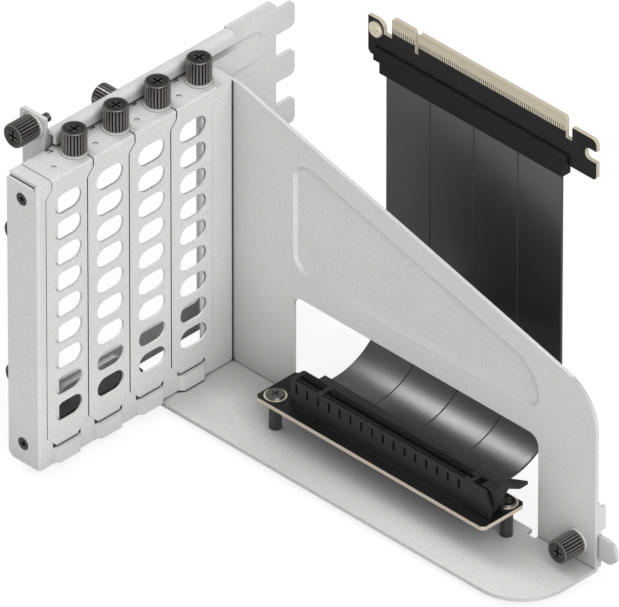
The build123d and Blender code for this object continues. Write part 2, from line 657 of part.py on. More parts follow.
def side_bracket():
    """One folded sheet: the sloped side plate and the shelf under the riser socket."""
    face = outline((FRAME_BACK, -SHEET), (FRAME_BACK, BRACKET_TOP),
                   (BRACKET_LEVEL_END, BRACKET_TOP), (BRACKET_LENGTH, BRACKET_END_HEIGHT),
                   (BRACKET_LENGTH, -SHEET))
    corner = face.vertices().sort_by(Axis.X)[-2:].sort_by(Axis.Y)[-1]
    face = fillet(corner, BRACKET_CORNER)
    opening = rect((OPENING_LEFT, OPENING_RIGHT), (0, OPENING_TOP))
    face -= fillet(opening.vertices().sort_by(Axis.Y)[-2:], OPENING_ROUND)
    plate = sheet_y(face, BRACKET_Y, BRACKET_BACK)

    shelf = rect((FRAME_BACK, BRACKET_LENGTH), (SHELF_FRONT, BRACKET_BACK))
    shelf = fillet(shelf.vertices().sort_by(Axis.X)[-2:].sort_by(Axis.Y)[0], SHELF_CORNER)
    bracket = plate + sheet_z(shelf, -SHEET, 0)
    fold = bracket.edges().filter_by(Axis.X).group_by(Axis.Z)[0].group_by(Axis.Y)[-1]
    bracket = fillet(fold, FOLD_RADIUS)

    panel = drawn_panel()
    pressed = Pos(0, BRACKET_BACK, 0) * extrude(Plane.XZ * panel, -DRAWN_DEPTH, taper=40)
    hollow = Pos(0, BRACKET_Y, 0) * extrude(Plane.XZ * panel, -DRAWN_DEPTH, taper=40)
    bracket = bracket + pressed - hollow

    for x in (OPENING_LEFT, OPENING_RIGHT - RELIEF_LENGTH):
        bracket -= block((x, x + RELIEF_LENGTH), (BRACKET_Y - SHEET, BRACKET_BACK), (-SHEET, SHEET))
    for x, y in (POST_LEFT, POST_RIGHT):
        bracket -= rod_z(POST_SCREW_RADIUS + SEAT_GAP, (-SHEET, 0), x, y)
    span = (BRACKET_Y, BRACKET_BACK)
    bracket -= rod_y(SHANK_RADIUS + 0.3, span, STAY_SCREW_X, STAY_SCREW_Z)
    for z in side_screw_heights():
        bracket -= rod_y(WALL_SCREW_RADIUS + SEAT_GAP, span, WALL_SCREW_X, z)
    return bracket


def stay():
    """A small plate behind the bracket's end, with a finger tab past the edge."""
    left = BRACKET_LENGTH - STAY_WIDTH
    face = rect((left, BRACKET_LENGTH), (0, STAY_TOP))
    face = fillet(face.vertices().sort_by(Axis.Y)[-2:], 2.0)
    tab_z = (EAR_TAB_BOTTOM, EAR_TAB_BOTTOM + EAR_TAB_HEIGHT)
    tab = rect((BRACKET_LENGTH - 1, BRACKET_LENGTH + EAR_TAB_LENGTH), tab_z)
    tab = fillet(tab.vertices().sort_by(Axis.X)[-2:], EAR_TAB_HEIGHT * 0.46)
    plate = sheet_y(face + tab, BRACKET_BACK, BRACKET_BACK + SHEET)
    lip = block((BRACKET_LENGTH - SHEET, BRACKET_LENGTH),
                (BRACKET_BACK, BRACKET_BACK + SHEET + STAY_LIP_DEPTH), (STAY_LIP_BOTTOM, STAY_TOP - 2))
    plate += lip
    span = (BRACKET_BACK, BRACKET_BACK + SHEET)
    return plate - rod_y(SHANK_RADIUS + SEAT_GAP, span, STAY_SCREW_X, STAY_SCREW_Z)


def foot_pad():
    """The soft round foot under the far end of the shelf."""
    pad = rod_z(PAD_RADIUS, (-SHEET - PAD_HEIGHT, -SHEET), PAD_X, PAD_Y)
    return fillet(pad.edges().group_by(Axis.Z)[0], 0.6)


def posts():
    """Two hexagonal posts between the shelf and the socket board, with their studs."""
    parts = []
    for x, y in (POST_LEFT, POST_RIGHT):
        hexagon = Pos(x, y) * RegularPolygon(POST_WIDTH / 2, 6, major_radius=False)
        post = sheet_z(hexagon, 0, POST_HEIGHT) + rod_z(POST_SCREW_RADIUS, (-SHEET, 0), x, y)
        parts.append(post - rod_z(POST_SCREW_RADIUS + SEAT_GAP, (POST_HEIGHT - 5, POST_HEIGHT), x, y))
    return Compound(parts)


def board_screws():
    """Two flat screws that hold the socket board on its posts."""
    parts = []
    cross = Rectangle(3.2, 0.8) + Rectangle(0.8, 3.2)
    for x, y in (POST_LEFT, POST_RIGHT):
        low = BOARD_TOP + FOIL
        head = rod_z(POST_HEAD_RADIUS, (low, low + POST_HEAD), x, y)
        head = chamfer(head.edges().group_by(Axis.Z)[-1], 0.3)
        head -= Pos(x, y, low + POST_HEAD) * extrude(cross, -0.5)
        parts.append(head + rod_z(POST_SCREW_RADIUS, (POST_HEIGHT - 4.5, low), x, y))
    return Compound(parts)


def board_rings():
    """The gilt rings on the board under the two screw heads."""
    rings = []
    for x, y in (POST_LEFT, POST_RIGHT):
        ring = rod_z(RING_RADIUS, (BOARD_TOP, BOARD_TOP + FOIL), x, y)
        rings.append(ring - rod_z(POST_SCREW_RADIUS + SEAT_GAP, (BOARD_TOP, BOARD_TOP + FOIL), x, y))
    return Compound(rings)


def socket_board():
    """The circuit board that carries the card socket."""
    face = rect((BOARD_X, BOARD_X + BOARD_LENGTH), (BOARD_Y, BOARD_Y + BOARD_WIDTH))
    face = chamfer(face.vertices(), BOARD_CORNER)
    board = sheet_z(face, POST_HEIGHT, BOARD_TOP)
    for x, y in (POST_LEFT, POST_RIGHT):
        board -= rod_z(POST_SCREW_RADIUS + SEAT_GAP, (POST_HEIGHT, BOARD_TOP), x, y)
    return board


def card_socket():
    """The moulded card socket: long slot with its key, wall grooves and latch cheeks."""
    front = SOCKET_Y - SOCKET_WIDTH / 2
    back = SOCKET_Y + SOCKET_WIDTH / 2
    top = BOARD_TOP + SOCKET_HEIGHT
    body = block((SOCKET_X, SOCKET_RIGHT), (front, back), (BOARD_TOP, top))
    body = chamfer(body.edges().filter_by(Axis.Z).group_by(Axis.X)[0], 0.6)
    slot_y = (SOCKET_Y - CARD_SLOT / 2, SOCKET_Y + CARD_SLOT / 2)
    slot_x = (SOCKET_X + SOCKET_END_WALL, SOCKET_RIGHT - SOCKET_END_WALL)
    slot = block(slot_x, slot_y, (top - CARD_SLOT_DEPTH, top))
    key = SOCKET_X + KEY_FROM_END
    slot -= block((key, key + KEY_WIDTH), slot_y, (top - CARD_SLOT_DEPTH, top))
    body -= slot
    groove_z = (top - GROOVE_DROP - GROOVE_HEIGHT, top - GROOVE_DROP)
    for k in range(GROOVES):
        x = SOCKET_X + GROOVE_FIRST + k * GROOVE_PITCH
        body -= block((x, x + GROOVE_WIDTH), (front, front + GROOVE_DEPTH), groove_z)
    cheek = outline((SOCKET_RIGHT, BOARD_TOP), (SOCKET_RIGHT + CHEEK_LENGTH, BOARD_TOP),
                    (SOCKET_RIGHT + CHEEK_LENGTH, BOARD_TOP + CHEEK_LOW),
                    (SOCKET_RIGHT + CHEEK_TOP_LENGTH, top), (SOCKET_RIGHT, top))
    body += sheet_y(cheek, front, front + CHEEK) + sheet_y(cheek, back - CHEEK, back)
    return body - rod_y(PIVOT_RADIUS + PIVOT_GAP, (front, back), PIVOT_X, PIVOT_Z)


def socket_latch():
    """The swinging card latch: a nose over the slot, two fins on the arm, and the lever."""
    root = PIVOT_X + 1.7
    turn_x = PIVOT_X + LEVER_REACH
    turn_z = PIVOT_Z + LEVER_RISE
    tip_x = turn_x + LEVER_LENGTH
    tip_z = turn_z + LEVER_LENGTH * LEVER_TILT
    shoulder = PIVOT_Z + 8.0
    profile = outline((PIVOT_X - 1.7, PIVOT_Z - 1.6), (root, PIVOT_Z - 1.6),
                      (root + 1.2, PIVOT_Z + 2.5), (turn_x, turn_z - 0.6), (tip_x, tip_z),
                      (tip_x, tip_z + LEVER_SHEET), (turn_x - 0.8, turn_z + LEVER_SHEET),
                      (root + 2.0, shoulder + 1.0), (PIVOT_X - 3.0, shoulder + 0.6),
                      (PIVOT_X - 5.2, shoulder - 1.2), (PIVOT_X - 1.7, shoulder - 2.6))
    latch = sheet_y(profile, SOCKET_Y - LATCH_WIDTH / 2, SOCKET_Y + LATCH_WIDTH / 2)
    hollow = outline((root + 0.6, PIVOT_Z - 1.6), (root + 1.8, PIVOT_Z - 1.6),
                     (turn_x + 1.0, turn_z - 1.4), (turn_x - 1.2, turn_z - 2.6))
    latch -= sheet_y(hollow, SOCKET_Y - LATCH_WIDTH / 2 + FIN, SOCKET_Y + LATCH_WIDTH / 2 - FIN)
    reach = SOCKET_WIDTH / 2
    return latch + rod_y(PIVOT_RADIUS, (SOCKET_Y - reach, SOCKET_Y + reach), PIVOT_X, PIVOT_Z)


def lower_ribbon_clamp():
    """The moulded bar that holds the ribbons on the back of the socket board."""
    x = (RIBBON_X - LOWER_CLAMP_MARGIN, RIBBON_X + RIBBONS_WIDTH + LOWER_CLAMP_MARGIN)
    bar = block(x, (LOWER_CLAMP_FRONT, LOWER_CLAMP_BACK), (BOARD_TOP, BOARD_TOP + LOWER_CLAMP_HEIGHT))
    return chamfer(bar.edges().filter_by(Axis.X).group_by(Axis.Z)[-1], 0.6)


def ribbon(n):
    """One flat ribbon: out of the lower clamp, round a quarter bend, then straight up."""
    half = RIBBON_SHEET / 2
    bend = Circle(RIBBON_BEND + half) - Circle(RIBBON_BEND - half)
    bend &= rect((0, RIBBON_BEND + half), (-RIBBON_BEND - half, 0))
    bend = Pos(RIBBON_BEND_Y, RIBBON_Z + RIBBON_BEND) * bend
    lead = rect((LOWER_CLAMP_BACK, RIBBON_BEND_Y), (RIBBON_Z - half, RIBBON_Z + half))
    rise = rect((RIBBON_Y - half, RIBBON_Y + half), (RIBBON_Z + RIBBON_BEND, RIBBON_TOP))
    low = RIBBON_X + n * RIBBON_PITCH + RIBBON_GAP / 2
    return sheet_x(lead + bend + rise, low, low + RIBBON_PITCH - RIBBON_GAP)


def upper_ribbon_clamp():
    """The stepped bar moulded round the ribbons and the edge board."""
    y = (RIBBON_Y - UPPER_CLAMP_DEPTH / 2, RIBBON_Y + UPPER_CLAMP_DEPTH / 2)
    step = RIBBON_TOP + UPPER_CLAMP_STEP
    low = block(UPPER_CLAMP_LOW, y, (RIBBON_TOP, step))
    wide = block(UPPER_CLAMP_WIDE, y, (step, RIBBON_TOP + UPPER_CLAMP_TOP))
    bar = low + wide
    board = (EDGE_FRONT - SEAT_GAP, EDGE_FRONT + BOARD_SHEET + SEAT_GAP)
    slot = block((UPPER_CLAMP_WIDE[0], UPPER_CLAMP_WIDE[1]), board,
                 (EDGE_BOTTOM, RIBBON_TOP + UPPER_CLAMP_TOP))
    top = bar.edges().filter_by(Axis.X).group_by(Axis.Z)[-1]
    return chamfer(top, 0.5) - slot


def edge_board():
    """The edge board with its finger blade, side tab with a hole and hook notch."""
    face = rect(EDGE_X, (EDGE_BOTTOM, EDGE_NOTCH_FLOOR))
    left = rect((EDGE_X[0], EDGE_LEFT_TAB_RIGHT), (EDGE_BOTTOM, EDGE_LEFT_TOP))
    left = fillet(left.vertices().sort_by(Axis.Y)[-2:].sort_by(Axis.X)[-1], 3.2)
    right = rect((EDGE_RIGHT_TAB_LEFT, EDGE_X[1]), (EDGE_BOTTOM, EDGE_RIGHT_TOP))
    right = fillet(right.vertices().sort_by(Axis.Y)[-2:].sort_by(Axis.X)[-1], 2.4)
    face = face + left + right
    for span in FINGER_SPANS:
        blade = rect(span, (EDGE_NOTCH_FLOOR - 1, FINGER_TIP))
        face += chamfer(blade.vertices().sort_by(Axis.Y)[-2:], 0.9)
    face -= rect((FINGER_SPANS[0][1], FINGER_SPANS[1][0]), (EDGE_NOTCH_FLOOR - 0.6, EDGE_NOTCH_FLOOR))
    notch_x, notch_low, notch_high = HOOK_NOTCH
    notch = rect((notch_x, EDGE_X[1]), (notch_low, notch_high))
    face -= fillet(notch.vertices().sort_by(Axis.X)[:2], (notch_high - notch_low) * 0.45)
    face = chamfer(face.vertices().sort_by(Axis.Y)[:2], 1.2)
    board = sheet_y(face, EDGE_FRONT, EDGE_FRONT + BOARD_SHEET)
    hole_x, hole_z = EDGE_HOLE
    return board - rod_y(EDGE_HOLE_RADIUS, (EDGE_FRONT, EDGE_FRONT + BOARD_SHEET), hole_x, hole_z)


def edge_screw():
    """The plated screw through the edge board's tab, with its keeper ring behind."""
    x, z = EDGE_HOLE
    head = rod_y(EDGE_RING_RADIUS, (EDGE_FRONT - EDGE_HEAD, EDGE_FRONT), x, z)
    head = chamfer(head.edges().group_by(Axis.Y)[0], 0.4)
    cross = Rectangle(2.6, 0.7) + Rectangle(0.7, 2.6)
    head -= Pos(x, EDGE_FRONT - EDGE_HEAD, z) * extrude(Plane.XZ * cross, -0.6)
    back = EDGE_FRONT + BOARD_SHEET
    keeper = rod_y(EDGE_RING_RADIUS - 0.4, (back, back + 0.6), x, z)
    return head + keeper + rod_y(EDGE_HOLE_RADIUS - SEAT_GAP, (EDGE_FRONT, back), x, z)


def edge_contacts():
    """The gilt contact strips on both faces of the finger blade."""
    strips = []
    for low in (EDGE_FRONT - FOIL, EDGE_FRONT + BOARD_SHEET):
        for start, end in FINGER_SPANS:
            strips.append(block((start + 0.5, end - 0.5), (low, low + FOIL),
                                (FINGER_BASE, FINGER_TIP - 1.0)))
    return Compound(strips)


def washers_on_covers():
    return Compound([Pos(COVER_SCREW_X, cover_screw_y(n), FRAME_HEIGHT) * washer(WASHER_HEIGHT, SHANK_RADIUS)
                     for n in range(SLOTS)])


def washers_on_ears():
    return Compound([toward_left(EAR_SCREW_X, PLATE_LEFT, ear_screw_z(k)) * washer(WASHER_HEIGHT, NECK_RADIUS)
                     for k in range(len(EAR_SCREW_SLOTS))])


def clamp_spacers():
    """The two sleeves under the clamp knobs behind the rear plate."""
    return Compound([toward_back(PLATE_BACK, y, z) * washer(CLAMP_SPACER, SHANK_RADIUS)
                     for y, z in ((UPPER_CLAMP_Y, UPPER_SLOT_Z), (LOWER_CLAMP_Y, LOWER_SLOT_Z))])


def all_parts():
    """Every node by name, in the working frame."""
    parts = {"slot_frame": slot_frame(), "rear_plate": rear_plate(), "side_bracket": side_bracket()}
    for n in range(SLOTS):
        parts[f"slot_cover_{n + 1}"] = slot_cover(n)
        place = Pos(COVER_SCREW_X, cover_screw_y(n), FRAME_HEIGHT + WASHER_HEIGHT)
        parts[f"cover_screw_{n + 1}"] = place * thumb_screw(COVER_SHANK)
    for k in range(len(EAR_SCREW_SLOTS)):
        place = toward_left(EAR_SCREW_X, PLATE_LEFT - WASHER_HEIGHT, ear_screw_z(k))
        parts[f"chassis_screw_{k + 1}"] = place * chassis_screw()
    clamp_shank = CLAMP_SPACER + SHEET + EMBOSS_RISE + CLAMP_SHANK_IN
    for name, y, z in (("upper", UPPER_CLAMP_Y, UPPER_SLOT_Z), ("lower", LOWER_CLAMP_Y, LOWER_SLOT_Z)):
        place = toward_back(PLATE_BACK - CLAMP_SPACER, y, z)
        parts[f"clamp_screw_{name}"] = place * thumb_screw(clamp_shank)
    parts["slide_bar_upper"] = slide_bar(UPPER_BAR_Z, UPPER_BAR_LENGTH)
    parts["slide_bar_lower"] = slide_bar(LOWER_BAR_Z, LOWER_BAR_LENGTH)
    parts["cover_washers"] = washers_on_covers()
    parts["chassis_washers"] = washers_on_ears()
    parts["clamp_spacers"] = clamp_spacers()
    parts["end_wall_screws"] = end_wall_screws()
    parts["bracket_side_screws"] = bracket_side_screws()
    parts["stay"] = stay()
    seat = toward_left(STAY_SCREW_X, BRACKET_Y, STAY_SCREW_Z)
    parts["stay_washer"] = seat * washer(WASHER_HEIGHT, SHANK_RADIUS)
    parts["stay_screw"] = seat * Pos(0, 0, WASHER_HEIGHT) * thumb_screw(STAY_SHANK)
    parts["foot_pad"] = foot_pad()
    parts["board_posts"] = posts()
    parts["socket_board"] = socket_board()
    parts["board_rings"] = board_rings()
    parts["board_screws"] = board_screws()
    parts["card_socket"] = card_socket()
    parts["socket_latch"] = socket_latch()
    parts["lower_ribbon_clamp"] = lower_ribbon_clamp()
    for n in range(RIBBONS):
        parts[f"ribbon_{n + 1}"] = ribbon(n)
    parts["upper_ribbon_clamp"] = upper_ribbon_clamp()
    parts["edge_board"] = edge_board()
    parts["edge_screw"] = edge_screw()
    parts["edge_contacts"] = edge_contacts()
    return parts


def base_shift(parts):
    """The move that brings the middle of the part's base to the origin."""
    boxes = [shape.bounding_box() for shape in parts.values()]
    low = [min(getattr(b.min, a) for b in boxes) for a in "XYZ"]
    high = [max(getattr(b.max, a) for b in boxes) for a in "XYZ"]
    return Pos(-(low[0] + high[0]) / 2, -(low[1] + high[1]) / 2, -low[2])


os.makedirs("parts", exist_ok=True)
nodes = all_parts()
shift = base_shift(nodes)
for name, shape in nodes.items():
    export_step(shift * shape, f"parts/{name}.step")
print("moved by", [round(v, 3) for v in shift.position])
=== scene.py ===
import math

import bmesh
import bpy
from mathutils import Matrix, Vector


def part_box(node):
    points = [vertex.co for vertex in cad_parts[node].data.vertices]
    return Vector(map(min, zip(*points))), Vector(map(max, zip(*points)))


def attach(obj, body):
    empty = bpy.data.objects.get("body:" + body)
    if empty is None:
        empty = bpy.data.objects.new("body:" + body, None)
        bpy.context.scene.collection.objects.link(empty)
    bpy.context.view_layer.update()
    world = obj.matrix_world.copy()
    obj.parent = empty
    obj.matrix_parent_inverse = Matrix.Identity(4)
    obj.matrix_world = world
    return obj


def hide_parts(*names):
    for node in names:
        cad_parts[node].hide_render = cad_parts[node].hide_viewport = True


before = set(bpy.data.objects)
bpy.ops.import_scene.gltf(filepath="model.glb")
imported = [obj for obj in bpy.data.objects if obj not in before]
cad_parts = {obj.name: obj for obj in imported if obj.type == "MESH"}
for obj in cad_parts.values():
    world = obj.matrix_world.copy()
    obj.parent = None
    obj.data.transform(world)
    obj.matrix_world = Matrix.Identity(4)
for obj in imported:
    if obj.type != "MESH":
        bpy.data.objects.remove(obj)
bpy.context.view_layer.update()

# Viewpoint: a very long lens straight down the middle of the three axes, so that the
# covers, the shelf and the side plate all show at the same slant. Places are millimetres
# from the lower front left corner of the slot frame, whose walls reach back from there.
mm = 0.001
frame_depth = 15.2 * mm
corner = Vector(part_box("slot_frame")[0]) + Vector((frame_depth, 0, 0))


def place(x, y, z):
    """A point that many millimetres from the frame's corner."""
    return corner + Vector((x, y, z)) * mm


def add(name, data):
    """A new object in the scene that shows the data."""
    made = bpy.data.objects.new(name, data)
    bpy.context.scene.collection.objects.link(made)
    return made


def facing_turn(way):
    """The turn that points an object's own Z along a direction."""
    return Vector(way).to_track_quat("Z", "Y")


aim = place(54.7, 78.3, 60)
sight = Vector((1, -1, 1)).normalized()
view_width = 215.1 * mm
lens_mm = 1680
sensor_mm = 36
camera_data = bpy.data.cameras.new("camera")
camera_data.lens = lens_mm
camera_data.sensor_width = sensor_mm
camera_data.clip_start = 1
camera_data.clip_end = 60
camera = add("camera", camera_data)
camera.location = aim + sight * (view_width * lens_mm / sensor_mm)
camera.rotation_euler = facing_turn(sight).to_euler()
bpy.context.scene.camera = camera
bpy.context.scene.view_settings.view_transform = "Standard"


# Powder coated sheet: frame, covers, rear plate, side bracket and stay are folded steel
# sprayed with one fine white powder. It leaves a faint orange peel and rounds every edge a
# little. Seams between two sheets, deep corners and the drawn panel's sloping walls are painted darker as
# painted shade.
class Flow:
    """One value, colour or direction on its way through a network of nodes."""

    def __init__(self, network, socket):
        self.network = network
        self.socket = socket

    def join(self, operation, other, swapped=False):
        """One Math node on this and another value."""
        pair = (other, self) if swapped else (self, other)
        return self.network.node("Math", {"operation": operation}, {0: pair[0], 1: pair[1]})

    def __add__(self, other):
        return self.join("ADD", other)

    def __radd__(self, other):
        return self.join("ADD", other, True)

    def __sub__(self, other):
        return self.join("SUBTRACT", other)

    def __rsub__(self, other):
        return self.join("SUBTRACT", other, True)

    def __mul__(self, other):
        return self.join("MULTIPLY", other)

    def __rmul__(self, other):
        return self.join("MULTIPLY", other, True)

    def __gt__(self, other):
        return self.join("GREATER_THAN", other)

    def __lt__(self, other):
        return self.join("LESS_THAN", other)

    def __mod__(self, other):
        return self.join("FLOORED_MODULO", other)

    def rise(self, start, end):
        """A straight line through 0 at start and 1 at end."""
        return (self - start) * (1 / (end - start))

    def span(self, low, high):
        """A straight line from low, where the value is 0, to high, where it is 1."""
        return low + self * (high - low)


class Network:
    """The nodes of a material or of the room, all made by one method."""

    def __init__(self, tree):
        self.tree = tree

    def node(self, kind, settings, sockets, out=0):
        """Adds a node, fills its settings and sockets, and follows one of its outputs."""
        made = self.tree.nodes.new("ShaderNode" + kind)
        for key, value in settings.items():
            setattr(made, key, value)
        for key, value in sockets.items():
            if isinstance(value, Flow):
                self.tree.links.new(value.socket, made.inputs[key])
            else:
                made.inputs[key].default_value = value
        return Flow(self, made.outputs[out])


class Finish(Network):
    """A material: its plain values, and what changes over the surface."""

    def __init__(self, name, **plain):
        self.material = bpy.data.materials.new(name)
        self.material.use_nodes = True
        super().__init__(self.material.node_tree)
        self.shader = self.tree.nodes["Principled BSDF"]
        for socket, value in plain.items():
            self.shader.inputs[socket.replace("_", " ")].default_value = value

    def spot(self):
        """Where a point is on the object, in metres."""
        return self.node("TexCoord", {}, {}, "Object")

    def grain(self, size_mm, detail=2.0):
        """Noise with grains of that size, from 0 to 1."""
        noise = {"Vector": self.spot(), "Scale": 1 / (size_mm * mm), "Detail": detail}
        return self.node("TexNoise", {}, noise)

    def along(self, axis):
        """Distance along one axis from the frame's corner, in millimetres."""
        reach = self.node("SeparateXYZ", {}, {0: self.spot()}, axis)
        return (reach - corner["XYZ".index(axis)]) * (1 / mm)

    def facing(self, axis):
        """How squarely the surface faces either way along one axis, from 0 to 1."""
        normal = self.node("NewGeometry", {}, {}, "Normal")
        part = self.node("SeparateXYZ", {}, {0: normal}, axis)
        return self.node("Math", {"operation": "ABSOLUTE"}, {0: part})

    def waves(self, axis, pitch_mm):
        """Even waves along one axis, from -1 to 1."""
        angle = self.along(axis) * (2 * math.pi / pitch_mm)
        return self.node("Math", {"operation": "SINE"}, {0: angle})

    def openness(self, reach_mm):
        """0 in a seam or crease and 1 in the open, as far as that reach."""
        return self.node("AmbientOcclusion", {"samples": 12}, {"Distance": reach_mm * mm}, "AO")

    def mix(self, share, low, high):
        """A colour between low and high."""
        share_in, low_in, high_in, colour_out = 0, 6, 7, 2
        sockets = {share_in: share, low_in: low, high_in: high}
        return self.node("Mix", {"data_type": "RGBA", "clamp_factor": True}, sockets, colour_out)

    def feed(self, socket, flow):
        """Lets the flow drive one socket of the shader."""
        self.tree.links.new(flow.socket, self.shader.inputs[socket])

    def tint(self, grain_mm, low, high):
        """Colours the surface between low and high, in clouds of that size."""
        self.feed("Base Color", self.mix(self.grain(grain_mm), low, high))

    def matt(self, grain_mm, low, high):
        """Varies the roughness between low and high, in clouds of that size."""
        self.feed("Roughness", self.grain(grain_mm).span(low, high))

    def relief(self, height, depth_mm, edge_mm=0.0):
        """Bumps of that height, over edges that look rounded to the edge radius."""
        sockets = {"Height": height, "Distance": depth_mm * mm}
        if edge_mm:
            sockets["Normal"] = self.node("Bevel", {"samples": 6}, {"Radius": edge_mm * mm})
        self.feed("Normal", self.node("Bump", {}, sockets))


def coat(finish, *names):
    """Gives the finish to the named solids."""
    for name in names:
        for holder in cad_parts[name].material_slots:
            holder.material = finish.material


thin_powder = (0.60, 0.60, 0.597, 1)
full_powder = (0.94, 0.94, 0.937, 1)
shaded_wall = (0.42, 0.42, 0.42, 1)
painted_corner_shade = (0.37, 0.37, 0.368, 1)
seam_shadow = (0.05, 0.05, 0.05, 1)
speckle_mm = 0.55
cloud_mm = 26
cloud_share = 0.15
wall_from_x = 20
wall_upright = 0.1875
wall_flat = 0.93
wall_strength = 0.65
corner_reach_mm = 50
corner_closed = 0.16
corner_open = 0.7314
seam_open = 0.72


def powder_coat(name, seam_reach_mm, seam_closed):
    """White powder with painted shade: near black in seams, darker on the drawn panel's sloping
    walls and a little darker in deep corners."""
    powder = Finish(name, Specular_IOR_Level=0.35)
    speckle = powder.grain(speckle_mm, detail=1.5) * (1 - cloud_share)
    speckle = speckle + powder.grain(cloud_mm, detail=3) * cloud_share
    sprayed = powder.mix(speckle, thin_powder, full_powder)
    # Painted shade: the drawn panel's sloping walls are darkened by how they face, towards the wall
    # colour.
    level = powder.facing("Z")
    slope_shade = level.rise(wall_upright, 1) * wall_strength
    slope_shade = slope_shade * (level < wall_flat) * (powder.along("X") > wall_from_x)
    sprayed = powder.mix(slope_shade, sprayed, shaded_wall)
    # Painted shade: deep corners and the shelf under the board are darkened towards the corner colour.
    corner_shade = powder.openness(corner_reach_mm).rise(corner_closed, corner_open)
    sprayed = powder.mix(corner_shade, painted_corner_shade, sprayed)
    # Painted shade: seams and narrow gaps between sheets are darkened towards the seam colour.
    seam_shade = powder.openness(seam_reach_mm).rise(seam_closed, seam_open)
    powder.feed("Base Color", powder.mix(seam_shade, seam_shadow, sprayed))
    powder.matt(2.5, low=0.42, high=0.58)
    powder.relief(powder.grain(0.8), depth_mm=0.10, edge_mm=0.2)
    return powder


# The three coats differ only in how wide and how dark their painted seam shade is.
white_side = powder_coat("white_powder_coat", seam_reach_mm=1.5, seam_closed=0.3867)
white_front = powder_coat("white_powder_front", seam_reach_mm=1.8, seam_closed=0.4819)
white_rear = powder_coat("white_powder_rear", seam_reach_mm=1.2, seam_closed=0.47)
coat(white_side, "side_bracket", "stay")
coat(white_front, "slot_frame", *["slot_cover_" + str(n) for n in (1, 2, 3, 4)])
coat(white_rear, "rear_plate")

# Thumb screws: turned knobs with straight knurling, a chamfered rim and a cross recess in
# the flat top, on a threaded shank. They are blackened, and the ridges and the rim have
# worn and polished brighter; the valleys of the knurl are painted darker as painted shade.
knob_radius = 4.65 * mm
knob_height = 9.1 * mm
knob_flutes = 24
flute_columns = 8
flute_depth = 0.6 * mm
flute_steepness = 2.4
sharp_edge = 0.5
shank_radius = 1.75 * mm
shank_tip_radius = 1.25 * mm
shank_tip = 0.4 * mm
shank_plain = 1.0 * mm
thread_pitch = 0.8 * mm
thread_depth = 0.28 * mm
neck_radius = 2.1 * mm
neck_length = 2.3 * mm
undercut_radius = 1.4 * mm
undercut = 0.6 * mm
hairline = 0.01 * mm
cross_reach = 2.1 * mm
cross_half_slit = 0.45 * mm
cross_depth = 1.5 * mm
clearance = 1.0 * mm
seat_chamfer = 0.4 * mm
# Rings of a knob from the seat up: how far each lies below the top, how far in from the
# full radius, and its share of the knurl.
knob_rings = (
    (knob_height, seat_chamfer, 0),
    (knob_height - seat_chamfer, 0, 1),     # lower end of the knurl
    (0.65 * mm, 0, 1),                      # upper end of the knurl
    (0.5 * mm, 0.3 * mm, 0.4),              # groove under the rim
    (0.42 * mm, 0.15 * mm, 0),              # rim
    (0.18 * mm, 0.15 * mm, 0),
    (0, 0.35 * mm, 0),                      # chamfered up to the flat top
    (0, 0.6 * mm, 0),
    (0.12 * mm, 0.75 * mm, 0),              # shallow dish round the cross
)
worn_from = 0.4556
worn_full = 0.5667
valley_closed = 0.2727
valley_open = 0.7273


def mesh_of(name, shape):
    """The mesh of a finished shape."""
    mesh = bpy.data.meshes.new(name)
    shape.to_mesh(mesh)
    shape.free()
    return mesh


def flute(column):
    """How deep the knurl is at a column, as a V between flat ridges."""
    phase = (column % flute_columns) / flute_columns
    rise = min(1.0, flute_steepness * (1 - abs(2 * phase - 1)))
    return flute_depth * (1 - rise)


def turned(name, rings):
    """A turned solid from (height, radius, flute share) rings, closed at both ends."""
    shape = bmesh.new()
    columns = knob_flutes * flute_columns
    loops = []
    for height, radius, share in rings:
        loop = []
        for column in range(columns):
            angle = 2 * math.pi * column / columns
            reach = radius - flute(column) * share
            loop.append(shape.verts.new((reach * math.cos(angle), reach * math.sin(angle), height)))
        loops.append(loop)
    for low, high in zip(loops, loops[1:]):
        for here in range(columns):
            there = (here + 1) % columns
            shape.faces.new((low[here], low[there], high[there], high[here]))
    shape.faces.new(list(reversed(loops[0])))
    shape.faces.new(loops[-1])
    bmesh.ops.recalc_face_normals(shape, faces=shape.faces)
    for face in shape.faces:
        face.smooth = True
    for edge in shape.edges:
        edge.smooth = edge.calc_face_angle(0) < sharp_edge
    return mesh_of(name, shape)


def cross(name):
    """A prism with the outline of a cross, which cuts the recess into a knob's top."""
    shape = bmesh.new()
    quarter = [(cross_half_slit, cross_half_slit), (cross_half_slit, cross_reach),
               (-cross_half_slit, cross_reach)]
    outline = []
    for turn in range(4):
        outline += [Matrix.Rotation(math.pi / 2 * turn, 2) @ Vector(point) for point in quarter]
    floor_height = knob_height - cross_depth
    base = shape.faces.new([shape.verts.new((*point, floor_height)) for point in outline])
    raised = bmesh.ops.extrude_face_region(shape, geom=[base])["geom"]
    raised = [part for part in raised if isinstance(part, bmesh.types.BMVert)]
    bmesh.ops.translate(shape, vec=(0, 0, cross_depth + clearance), verts=raised)
    bmesh.ops.recalc_face_normals(shape, faces=shape.faces)
    return mesh_of(name, shape)


def carved(name, mesh, cutter_mesh):
    """The mesh with the cutter's shapes taken out, as a new object."""
    solid = add(name, mesh)
    cutter = add(name + "_cutter", cutter_mesh)
    cut = solid.modifiers.new("cut", "BOOLEAN")
    cut.operation = "DIFFERENCE"
    cut.object = cutter
    cut.solver = "EXACT"
    graph = bpy.context.evaluated_depsgraph_get()
    result = bpy.data.meshes.new_from_object(solid.evaluated_get(graph))
    solid.modifiers.remove(cut)
    solid.data = result
    bpy.data.objects.remove(cutter)
    return solid


